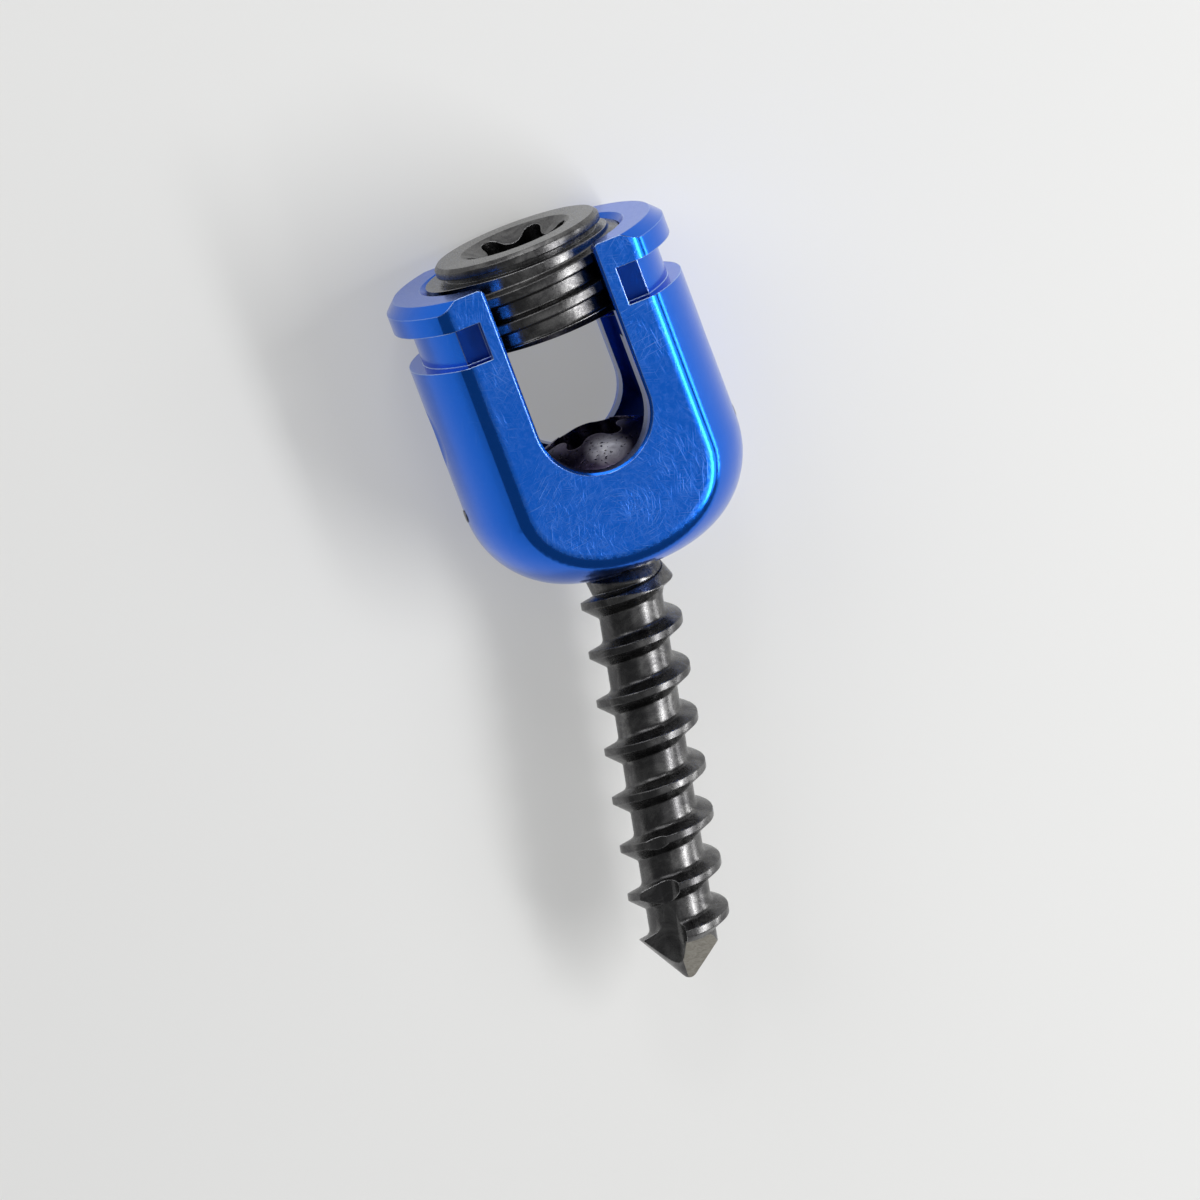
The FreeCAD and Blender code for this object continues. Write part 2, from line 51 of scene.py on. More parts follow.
# Camera, as the photograph sees the screw; its distance is in millimetres
IMAGE_SIZE_PX = 1200
BALL_AT_PX = (614.0, 500.8)
PX_PER_MM = 20.62
CAMERA_DISTANCE = 486.6
CAMERA_AZIMUTH_DEG = -5.4
CAMERA_ELEVATION_DEG = 12.2
CAMERA_ROLL_DEG = -20.7
SENSOR_MM = 36.0
CLIP_START_M = 0.01
CLIP_END_M = 10.0

# Floor and background; colours are linear
FLOOR_HALF_SIZE_M = 3.0
FLOOR_COLOUR = (0.80, 0.80, 0.79, 1)
FLOOR_ROUGHNESS = 0.7
FLOOR_GLOW = 0.35
FLOOR_GLOW_COLOUR = (0.84, 0.84, 0.83, 1)
WORLD_COLOUR = (0.98, 0.99, 1.0, 1)
WORLD_STRENGTH = 0.18

# Lamps: name, direction from the head's middle, distance and (width, height) in millimetres, radiance
LAMPS = (
    ("key", (0.66, -0.27, 0.70), 260, (150, 230), 2.0),
    ("key_core", (0.62, -0.27, 0.74), 250, (26, 220), 18.0),
    ("front_fill", (-0.02, -0.27, 0.96), 300, (130, 110), 0.55),
    ("low_right", (0.97, -0.21, 0.13), 260, (46, 200), 6.6),
    ("upper_left", (-0.55, 0.75, 0.62), 260, (150, 150), 1.8),
    ("upper_front", (0.10, 0.76, 0.66), 300, (60, 50), 7.0),
    ("top", (0.10, 0.97, 0.30), 260, (240, 90), 2.0),
)

# Sizes of the screws in millimetres, heights from the centre of the ball, as in the part's source.
# The roundings of the neck, the threads and the disc are the exception: only this script has them.
BALL_RADIUS = 3.0
BALL_TOP = 2.2
SCREW_LENGTH = 24.0
SCREW_TILT_DEG = 11.4
NECK_RADIUS = 1.65
NECK_FLARE_RADIUS = 2.0
NECK_FLARE_START = 3.1
NECK_FLARE_MIDDLE = 3.7
NECK_FLARE_END = 4.9
NECK_TOP_ROUND = 0.3
NECK_FLARE_ROUND = 0.25
NECK_END_ROUND = 0.4
THREAD_START = 3.05
THREAD_FULL_FROM = 4.25
THREAD_PITCH = 2.44
THREAD_PHASE_DEG = 56.0
ROOT_RADIUS = 1.62
CREST_RADIUS = 2.4
CREST_WIDTH = 0.36
UPPER_FLANK_DEG = 21.5
LOWER_FLANK_DEG = 35.0
UPPER_ROOT_ROUND = 0.3
LOWER_ROOT_ROUND = 0.14
CREST_ROUND = 0.05
POINT_HALF_ANGLE_DEG = 41.0
POINT_ROUND = 0.4
FLUTE_LENGTH = 5.5
FLUTE_FLOOR = 0.55
FLUTE_FACE = 0.17
FLUTE_ROUND = 0.9
FACET_LENGTH = 2.2
FACET_HALF_ANGLE_DEG = 33.0
FACET_TIP = 0.1
FACET_TURN_DEG = 26.0
BALL_SOCKET_RADIUS = 1.85
BALL_SOCKET_DEPTH = 2.3
HEAD_TOP = 13.0
PLUG_RADIUS = 4.9
PLUG_ROOT_RADIUS = 4.4
PLUG_PITCH = 1.4
PLUG_CREST_WIDTH = 0.45
PLUG_FLANK_DEG = 15.0
PLUG_ROOT_ROUND = 0.1
PLUG_CREST_ROUND = 0.06
PLUG_BOTTOM_DEPTH = 3.65
PLUG_PROUD = 0.88
DISC_RADIUS = 4.2
DISC_HEIGHT = 0.55
DISC_BEVEL = 0.18
DISC_UNDERCUT_ROUND = 0.08
DISC_LOW_ROUND = 0.06
DISC_SIDE_ROUND = 0.05
DISC_TOP_ROUND = 0.04
UNDERCUT_RADIUS = 3.85
UNDERCUT_HEIGHT = 0.3
PLUG_LEAD_BEVEL = 0.15
LEAD_IN_RADIUS = 2.8
LEAD_IN_DEG = 28.0
PLUG_SOCKET_RADIUS = 2.55
PLUG_SOCKET_DEPTH = 2.6
LOBE_SHARE = 0.2
WAIST_SHARE = 0.29

# How the screws are made: how far cutters reach past what they cut, turns of thread before trimming,
# how deep the thread and the lower neck start inside the shank, and how fine the curves are
MARGIN = 1.0
THREAD_TURNS = 11
PLUG_TURNS = 5
PLUG_THREAD_LEAD = 0.75 * PLUG_PITCH
THREAD_BURIED = 0.1
NECK_SINK = 0.12
NECK_SINK_LENGTH = 0.9
TURNED_SEGMENTS = 160
THREAD_SEGMENTS = 128
ROUND_STEPS = 4
POINT_STEPS = 6
FLUTE_STEPS = 8
LOBE_STEPS = 10
BALL_STEPS = 48
ON_AXIS = 1e-9
MERGE_DISTANCE = 1e-5
SHARP_DEG = 28
# A face belongs to a ground facet if it lies this near its length and its normal has this cosine with it
FACET_SLACK = 0.1
SAME_DIRECTION = 0.999

# The head's own upright frame, +Z up its axis in millimetres, laid down, and the shank's tilt in it
LAID = (Matrix.Scale(MM, 4) @ Matrix.Translation((0, 0, HEAD_HALF_DEPTH))
        @ Matrix.Rotation(math.radians(-90), 4, "X"))
TILTED = LAID @ Matrix.Rotation(math.radians(SCREW_TILT_DEG), 4, "Y")

# Colours are linear
BLUE = (0.006, 0.135, 0.72, 1)
BLUE_SCRATCHED = (0.11, 0.29, 0.86, 1)
# Painted highlight: pale blue along the head's edges
BLUE_EDGE_HIGHLIGHT = (0.62, 0.80, 1.0, 1)
# Painted shade: deep navy for the floors of the instrument pockets
BLUE_POCKET_SHADE = (0.002, 0.03, 0.26, 1)
# Painted shade: dark blue for the inside of the bore
BLUE_BORE_SHADE = (0.03, 0.075, 0.24, 1)
TITANIUM = (0.078, 0.077, 0.079, 1)
TITANIUM_WORN = (0.26, 0.258, 0.255, 1)
# Painted highlight: pale grey along the dark screws' edges
TITANIUM_EDGE_HIGHLIGHT = (0.5, 0.5, 0.51, 1)
# Painted reflection: lighter grey on faces along the head's axis, such as the disc's top
TITANIUM_FACE_REFLECTION = (0.21, 0.21, 0.212, 1)
CUP = (0.11, 0.085, 0.16, 1)
# Colour of the cup's worn blotches, also used for its painted edge highlight
CUP_WORN_AND_EDGE_HIGHLIGHT = (0.24, 0.21, 0.30, 1)
# Painted highlight: near white for the spot on the cup's seat
CUP_HIGHLIGHT_SPOT = (0.96, 0.95, 0.99, 1)
CUP_PIT = (0.02, 0.015, 0.035, 1)
GROUND = (0.40, 0.38, 0.34, 1)
GROUND_LINE = (0.25, 0.235, 0.205, 1)

# Places in the frame of the part and how softly they end, in millimetres; the core is a share of the size
POCKET_LEVELS = (0.5, 9.6)
LEVEL_SOFT = 0.05
BORE_RADIUS = 4.98
BORE_SOFT = 0.04
BORE_LEVELS = (1.0, 12.95)
BORE_LEVEL_SOFT = 0.02
# Where the cup's painted highlight spot sits and how large it is
HIGHLIGHT_SPOT_AT = (0.35, 3.3, 8.2)
HIGHLIGHT_SPOT_SIZE = (1.3, 1.0, 1.5)
HIGHLIGHT_SPOT_CORE = 0.3

# Edges: how wide their softened normal and their painted highlight show, in millimetres
BLUE_EDGE_WIDTH = 0.08
TITANIUM_EDGE_WIDTH = 0.07
CUP_EDGE_WIDTH = 0.06
GROUND_EDGE_WIDTH = 0.04
EDGE_SAMPLES = 6
# Cosines at which a normal begins to count, and fully counts, as one of an edge or of a facing flat
EDGE_RANGE = (0.995, 0.8)
FACING_RANGE = (0.96, 0.99)
# Larger than the part by far, so that a distance leaves this axis out
ENDLESS = 1e6

# Scratches and grinding: lengths and widths in millimetres, and the noise levels between which they show
SCRATCH_TURNS_DEG = (8, 41, 74, 98, 127, 163)
SCRATCH_SIZE = (1.1, 0.045)
SCRATCH_LEVELS = (0.60, 0.72)
SCRATCH_PATCH_SCALE = 330
SCRATCH_PATCHES = (0.42, 0.6)
GRINDING_CELL = (0.35, 0.35, 0.05)
GRINDING_TURN = (0.4, 0.5, 0.0)

# Noise in cells per metre, how broken up it is, and the depth of each relief in millimetres
BROKEN = {"roughness": 0.7, "distortion": 0.8}
BLUE_MOTTLE_SCALE = 3200
TITANIUM_BLOTCH_SCALE = 620
TITANIUM_GRAIN_SCALE = 7000
CUP_BLOTCH_SCALE = 900
CUP_PIT_SCALE = 5200
BLUE_BUMP = 0.008
TITANIUM_BUMP = 0.009
CUP_BUMP = 0.01
GROUND_BUMP = 0.008
COAT_WEIGHT = 0.12
COAT_ROUGHNESS = 0.12


def camera_axes():
    """Right, up and backward directions of the photograph's frame."""
    azimuth = math.radians(CAMERA_AZIMUTH_DEG)
    elevation = math.radians(CAMERA_ELEVATION_DEG)
    roll = math.radians(CAMERA_ROLL_DEG)
    back = Vector((math.sin(azimuth) * math.cos(elevation), math.sin(elevation),
                   math.cos(azimuth) * math.cos(elevation)))
    level_right = Vector((0, 1, 0)).cross(back).normalized()
    level_up = back.cross(level_right)
    right = level_right * math.cos(roll) + level_up * math.sin(roll)
    up = level_up * math.cos(roll) - level_right * math.sin(roll)
    return right, up, back


def make_camera():
    """Camera that puts the ball's centre where the photograph has it, at the photograph's scale."""
    right, up, back = camera_axes()
    data = bpy.data.cameras.new("camera")
    data.sensor_width = SENSOR_MM
    data.lens = PX_PER_MM * CAMERA_DISTANCE * SENSOR_MM / IMAGE_SIZE_PX
    data.clip_start = CLIP_START_M
    data.clip_end = CLIP_END_M
    camera = bpy.data.objects.new("camera", data)
    bpy.context.collection.objects.link(camera)
    across = (IMAGE_SIZE_PX / 2 - BALL_AT_PX[0]) / PX_PER_MM * MM
    down = (BALL_AT_PX[1] - IMAGE_SIZE_PX / 2) / PX_PER_MM * MM
    seen_point = BALL_CENTRE + right * across + up * down
    turn = Matrix((right, up, back)).transposed()
    place_camera = Matrix.Translation(seen_point + back * CAMERA_DISTANCE * MM)
    camera.matrix_world = place_camera @ turn.to_4x4()
    bpy.context.scene.camera = camera


def floor_material():
    """Matt pale floor that glows a little for the rays that see it, so that metal shows a pale room."""
    material = bpy.data.materials.new("pale_floor")
    material.use_nodes = True
    nodes = material.node_tree.nodes
    links = material.node_tree.links
    shader = nodes["Principled BSDF"]
    shader.inputs["Base Color"].default_value = FLOOR_COLOUR
    shader.inputs["Roughness"].default_value = FLOOR_ROUGHNESS
    glow = nodes.new("ShaderNodeEmission")
    glow.inputs["Color"].default_value = FLOOR_GLOW_COLOUR
    path = nodes.new("ShaderNodeLightPath")
    seen = path.outputs["Is Camera Ray"]
    for ray in ("Is Glossy Ray", "Is Transmission Ray"):
        either = nodes.new("ShaderNodeMath")
        either.operation = "MAXIMUM"
        links.new(seen, either.inputs[0])
        links.new(path.outputs[ray], either.inputs[1])
        seen = either.outputs[0]
    share = nodes.new("ShaderNodeMath")
    share.operation = "MULTIPLY"
    links.new(seen, share.inputs[0])
    share.inputs[1].default_value = FLOOR_GLOW
    mix = nodes.new("ShaderNodeMixShader")
    links.new(share.outputs[0], mix.inputs[0])
    links.new(shader.outputs[0], mix.inputs[1])
    links.new(glow.outputs[0], mix.inputs[2])
    links.new(mix.outputs[0], nodes["Material Output"].inputs["Surface"])
    return material


def make_floor():
    """Plain pale floor under the part."""
    size = FLOOR_HALF_SIZE_M
    mesh = bpy.data.meshes.new("floor")
    corners = [(-size, -size, 0), (size, -size, 0), (size, size, 0), (-size, size, 0)]
    mesh.from_pydata(corners, [], [(0, 1, 2, 3)])
    floor = bpy.data.objects.new("floor", mesh)
    bpy.context.collection.objects.link(floor)
    mesh.materials.append(floor_material())


def area_lamp(name, direction, distance, size, radiance):
    """Rectangular soft light that faces the head's middle, its height along the head."""
    data = bpy.data.lights.new(name, "AREA")
    data.shape = "RECTANGLE"
    data.size = size[0] * MM
    data.size_y = size[1] * MM
    # An even panel of this power shows the wanted radiance.
    data.energy = radiance * math.pi * data.size * data.size_y
    lamp = bpy.data.objects.new(name, data)
    bpy.context.collection.objects.link(lamp)
    along = Vector(direction).normalized()
    side = Vector((0, 1, 0)).cross(along).normalized()
    turn = Matrix((side, along.cross(side), along)).transposed()
    lamp.matrix_world = Matrix.Translation(HEAD_MIDDLE + along * distance * MM) @ turn.to_4x4()


def make_lights():
    """Lamps and world of a plain studio."""
    for lamp in LAMPS:
        area_lamp(*lamp)
    world = bpy.data.worlds.new("studio")
    bpy.context.scene.world = world
    world.use_nodes = True
    background = world.node_tree.nodes["Background"]
    background.inputs["Color"].default_value = WORLD_COLOUR
    background.inputs["Strength"].default_value = WORLD_STRENGTH


class Mesh:
    """Vertices and faces of one closed surface, in millimetres, in the head's own upright frame."""

    def __init__(self):
        self.points = []
        self.faces = []

    def add(self, point):
        self.points.append(point)
        return len(self.points) - 1

    def make(self, name):
        mesh = bpy.data.meshes.new(name)
        mesh.from_pydata(self.points, [], self.faces)
        piece = bpy.data.objects.new(name, mesh)
        bpy.context.collection.objects.link(piece)
        builder = bmesh.new()
        builder.from_mesh(mesh)
        bmesh.ops.remove_doubles(builder, verts=builder.verts, dist=MERGE_DISTANCE)
        bmesh.ops.recalc_face_normals(builder, faces=builder.faces)
        builder.to_mesh(mesh)
        builder.free()
        return piece


def polar(radius, angle):
    """Point at a radius and an angle in radians."""
    return radius * math.cos(angle), radius * math.sin(angle)


def arc_points(centre, radius, start_deg, end_deg, steps):
    """Points along an arc, both ends included."""
    line = []
    for step in range(steps + 1):
        x, y = polar(radius, math.radians(start_deg + (end_deg - start_deg) * step / steps))
        line.append((centre[0] + x, centre[1] + y))
    return line


def rounded(corners, steps=ROUND_STEPS):
    """Polyline through (radius, height, rounding) corners with each corner rounded by an arc."""
    line = []
    for index, (radius, height, rounding) in enumerate(corners):
        corner = Vector((radius, height))
        if rounding == 0 or index in (0, len(corners) - 1):
            line.append(tuple(corner))
            continue
        before = Vector(corners[index - 1][:2]) - corner
        after = Vector(corners[index + 1][:2]) - corner
        half = before.angle(after) / 2
        reach = rounding / math.tan(half)
        before.normalize()
        after.normalize()
        middle = corner + (before + after).normalized() * (rounding / math.sin(half))
        start = corner + before * reach - middle
        turn = start.angle_signed(corner + after * reach - middle)
        for step in range(steps + 1):
            angle = -turn * step / steps
            spun = Matrix.Rotation(angle, 2) @ start
            line.append(tuple(middle + spun))
    return line


def turned(name, profile, segments=TURNED_SEGMENTS):
    """Solid of revolution about Z of a (radius, height) profile that starts and ends on the axis."""
    mesh = Mesh()
    rings = []
    for radius, height in profile:
        if radius < ON_AXIS:
            rings.append([mesh.add((0, 0, height))] * segments)
            continue
        rings.append([mesh.add((*polar(radius, 2 * math.pi * step / segments), height))
                      for step in range(segments)])
    for low, high in zip(rings, rings[1:]):
        for step in range(segments):
            after = (step + 1) % segments
            face = []
            for index in (low[step], low[after], high[after], high[step]):
                if index not in face:
                    face.append(index)
            mesh.faces.append(face)
    return mesh.make(name)


def threaded(name, pitch, bottom, turns, phase_deg, profile, segments=THREAD_SEGMENTS):
    """Bar with a right-hand thread. Its profile is one pitch of (height, radius) from root to root."""
    mesh = Mesh()
    rows = turns * segments + 1
    grid = []
    for row in range(rows + segments):
        angle = math.radians(phase_deg) + 2 * math.pi * row / segments
        rise = bottom + pitch * row / segments
        columns = profile if row < rows else profile[:1]
        grid.append([mesh.add((*polar(radius, angle), rise + height)) for height, radius in columns])

    def at(row, column):
        return grid[row + segments][0] if column == len(profile) else grid[row][column]

    for row in range(rows - 1):
        for column in range(len(profile)):
            mesh.faces.append((at(row, column), at(row + 1, column),
                               at(row + 1, column + 1), at(row, column + 1)))
    low_loop = [at(row, 0) for row in range(segments + 1)]
    low_loop += [at(0, column) for column in range(len(profile) - 1, 0, -1)]
    high_loop = [at(rows - 1 + row, 0) for row in range(segments + 1)]
    high_loop += [at(rows - 1, column) for column in range(len(profile) - 1, 0, -1)]
    for loop, height in ((low_loop, bottom - pitch), (high_loop, bottom + pitch * (turns + 2))):
        middle = mesh.add((0, 0, height))
        for index, corner in enumerate(loop):
            mesh.faces.append((corner, loop[(index + 1) % len(loop)], middle))
    return mesh.make(name)


def prism(name, outline, low, high):
    """Upright prism over an outline, between two heights."""
    mesh = Mesh()
    bottom = [mesh.add((x, y, low)) for x, y in outline]
    top = [mesh.add((x, y, high)) for x, y in outline]
    mesh.faces.append(bottom)
    mesh.faces.append(top[::-1])
    for index in range(len(outline)):
        after = (index + 1) % len(outline)
        mesh.faces.append((bottom[index], bottom[after], top[after], top[index]))
    return mesh.make(name)


def place(piece, matrix):
    """Move the piece's mesh itself."""
    piece.data.transform(matrix)
    return piece


def combine(target, other, operation):
    """Boolean of two closed pieces. The second one is used up."""
    modifier = target.modifiers.new(operation, "BOOLEAN")
    modifier.operation = operation
    modifier.solver = "MANIFOLD"
    modifier.object = other
    evaluated = target.evaluated_get(bpy.context.evaluated_depsgraph_get())
    result = bpy.data.meshes.new_from_object(evaluated)
    target.modifiers.clear()
    result.materials.clear()
    target.data = result
    bpy.data.objects.remove(other)
    return target


def hexalobe_outline(outer_radius, steps=LOBE_STEPS):
    """Six lobes and six waists of one radius each, tangent to each other."""
    lobe = outer_radius * LOBE_SHARE
    waist = outer_radius * WAIST_SHARE
    lobe_centre = outer_radius - lobe
    along, across = polar(lobe_centre, math.radians(30))
    waist_centre = along + math.sqrt((lobe + waist) ** 2 - across ** 2)
    opening = math.degrees(math.atan2(across, waist_centre - along))
    swing = 30 + opening
    outline = []
    for lobe_angle in range(0, 360, 60):
        centre = polar(lobe_centre, math.radians(lobe_angle))
        outline += arc_points(centre, lobe, lobe_angle - swing, lobe_angle + swing, steps)[:-1]
        inward = lobe_angle + 30 + 180
        centre = polar(waist_centre, math.radians(lobe_angle + 30))
        outline += arc_points(centre, waist, inward + opening, inward - opening, steps)[:-1]
    return outline


def thread_profile(pitch, radii, crest_width, flanks_deg, rounds):
    """One pitch of a thread as (height, radius) points. Flanks and roundings: upper, then lower."""
    root, crest = radii
    upper_deg, lower_deg = flanks_deg
    upper_round, lower_round, crest_round = rounds
    half = crest_width / 2
    depth = crest - root
    upper = half + depth * math.tan(math.radians(upper_deg))
    lower = -half - depth * math.tan(math.radians(lower_deg))
    middle = (lower + pitch + upper) / 2
    corners = [(root, middle - pitch, 0), (root, lower, lower_round), (crest, -half, crest_round),
               (crest, half, crest_round), (root, upper, upper_round), (root, middle, 0)]
    return [(height, radius) for radius, height in rounded(corners)][:-1]


def shank_envelope():
    """What the bone thread is cut down to: the rounded cone of the point and the run-in at the neck."""
    half_angle = math.radians(POINT_HALF_ANGLE_DEG)
    apex = -SCREW_LENGTH - POINT_ROUND / math.sin(half_angle) + POINT_ROUND
    far = CREST_RADIUS + MARGIN
    run_in = (THREAD_FULL_FROM - THREAD_START) / (CREST_RADIUS - NECK_RADIUS)
    inside = NECK_RADIUS - THREAD_BURIED
    tip = arc_points((0, -SCREW_LENGTH + POINT_ROUND), POINT_ROUND, -90, -POINT_HALF_ANGLE_DEG,
                     POINT_STEPS)
    outline = [(0, tip[0][1])] + tip[1:]
    outline += [(far, apex + far / math.tan(half_angle)),
                (far, -THREAD_FULL_FROM - (far - CREST_RADIUS) * run_in),
                (inside, -THREAD_START + (NECK_RADIUS - inside) * run_in), (0, -THREAD_START + MARGIN)]
    return turned("outline", outline)


def ball_and_neck():
    """Ball with its flat top, and the neck that sinks into the root of the thread."""
    ball = arc_points((0, 0), BALL_RADIUS, math.degrees(math.asin(BALL_TOP / BALL_RADIUS)),
                      -math.degrees(math.acos(NECK_RADIUS / BALL_RADIUS)), BALL_STEPS)
    neck = rounded([(NECK_RADIUS, ball[-1][1], 0), (NECK_RADIUS, -NECK_FLARE_START, NECK_TOP_ROUND),
                    (NECK_FLARE_RADIUS, -NECK_FLARE_MIDDLE, NECK_FLARE_ROUND),
                    (ROOT_RADIUS, -NECK_FLARE_END, NECK_END_ROUND),
                    (ROOT_RADIUS - NECK_SINK, -NECK_FLARE_END - NECK_SINK_LENGTH, 0)])
    core = [(0, BALL_TOP)] + ball + neck[1:] + [(0, neck[-1][1])]
    return turned("core", core[::-1])


def flute_cutter(turn):
    """Ground flute: a radial cutting face and a hollow floor that runs out up the shank."""
    lean = math.atan((ROOT_RADIUS - FLUTE_FLOOR) / FLUTE_LENGTH)
    reach = CREST_RADIUS + 2 * MARGIN
    corner = arc_points((-FLUTE_FACE - FLUTE_ROUND, -FLUTE_FLOOR - FLUTE_ROUND), FLUTE_ROUND, 0, 90,
                        FLUTE_STEPS)
    wall = [(-FLUTE_FACE, -reach)] + corner + [(-reach, 0), (-reach, -reach)]
    flute = prism("flute", wall, 0, FLUTE_LENGTH + 3 * MARGIN)
    return place(flute, turn @ Matrix.Rotation(lean, 4, "X"))


def facet_cutter(turn):
    """What lies outside one ground facet of the point."""
    size = 3 * CREST_RADIUS
    slab = prism("facet", [(0, -size), (size, -size), (size, size), (0, size)],
                 -MARGIN, FACET_LENGTH + MARGIN)
    place(slab, Matrix.Translation((FACET_TIP, 0, 0))
          @ Matrix.Rotation(math.radians(FACET_HALF_ANGLE_DEG), 4, "Y"))
    room = prism("room", [(-size, -size), (size, -size), (size, size), (-size, size)],
                 -MARGIN, FACET_LENGTH)
    combine(slab, room, "INTERSECT")
    return place(slab, turn @ Matrix.Rotation(math.radians(-90 + FACET_TURN_DEG), 4, "Z"))


def bone_screw():
    """Ball, neck, bone thread with rounded roots, two flutes and the faceted point."""
    profile = thread_profile(THREAD_PITCH, (ROOT_RADIUS, CREST_RADIUS), CREST_WIDTH,
                             (UPPER_FLANK_DEG, LOWER_FLANK_DEG),
                             (UPPER_ROOT_ROUND, LOWER_ROOT_ROUND, CREST_ROUND))
    screw = threaded("thread", THREAD_PITCH, -SCREW_LENGTH - THREAD_PITCH / 2 - THREAD_PITCH,
                     THREAD_TURNS, THREAD_PHASE_DEG, profile)
    combine(screw, shank_envelope(), "INTERSECT")
    combine(screw, ball_and_neck(), "UNION")
    for turn_deg in (0, 180):
        turn = Matrix.Rotation(math.radians(turn_deg), 4, "Z")
        turn = turn @ Matrix.Translation((0, 0, -SCREW_LENGTH))
        combine(screw, flute_cutter(turn), "DIFFERENCE")
        combine(screw, facet_cutter(turn), "DIFFERENCE")
    socket = prism("socket", hexalobe_outline(BALL_SOCKET_RADIUS), BALL_TOP - BALL_SOCKET_DEPTH,
                   BALL_TOP + MARGIN)
    return combine(screw, socket, "DIFFERENCE")


def set_screw():
    """Threaded plug with a proud disc, an undercut and a hexalobular socket."""
    bottom = HEAD_TOP - PLUG_BOTTOM_DEPTH
    top = HEAD_TOP + PLUG_PROUD
    disc_low = top - DISC_HEIGHT
    thread_top = disc_low - UNDERCUT_HEIGHT
    far = PLUG_RADIUS + MARGIN
    profile = thread_profile(PLUG_PITCH, (PLUG_ROOT_RADIUS, PLUG_RADIUS), PLUG_CREST_WIDTH,
                             (PLUG_FLANK_DEG, PLUG_FLANK_DEG),
                             (PLUG_ROOT_ROUND, PLUG_ROOT_ROUND, PLUG_CREST_ROUND))
    plug = threaded("plug_thread", PLUG_PITCH, bottom - PLUG_THREAD_LEAD - PLUG_PITCH, PLUG_TURNS, 0,
                    profile)
    lead = PLUG_ROOT_RADIUS - PLUG_LEAD_BEVEL
    envelope = [(0, bottom), (lead, bottom), (far, bottom + far - lead), (far, thread_top),
                (0, thread_top)]
    combine(plug, turned("plug_outline", envelope), "INTERSECT")
    inside = thread_top - MARGIN
    disc = rounded([(0, inside, 0), (UNDERCUT_RADIUS, inside, 0),
                    (UNDERCUT_RADIUS, disc_low, DISC_UNDERCUT_ROUND),
                    (DISC_RADIUS, disc_low, DISC_LOW_ROUND),
                    (DISC_RADIUS, top - DISC_BEVEL, DISC_SIDE_ROUND),
                    (DISC_RADIUS - DISC_BEVEL, top, DISC_TOP_ROUND), (0, top, 0)])
    combine(plug, turned("disc", disc), "UNION")
    depth = LEAD_IN_RADIUS * math.tan(math.radians(LEAD_IN_DEG))
    lead_in = turned("lead_in", [(0, top - depth), (LEAD_IN_RADIUS, top), (LEAD_IN_RADIUS, top + MARGIN),
                                 (0, top + MARGIN)])
    combine(plug, lead_in, "DIFFERENCE")
    socket = prism("plug_socket", hexalobe_outline(PLUG_SOCKET_RADIUS), top - PLUG_SOCKET_DEPTH,
                   top + MARGIN)
    return combine(plug, socket, "DIFFERENCE")


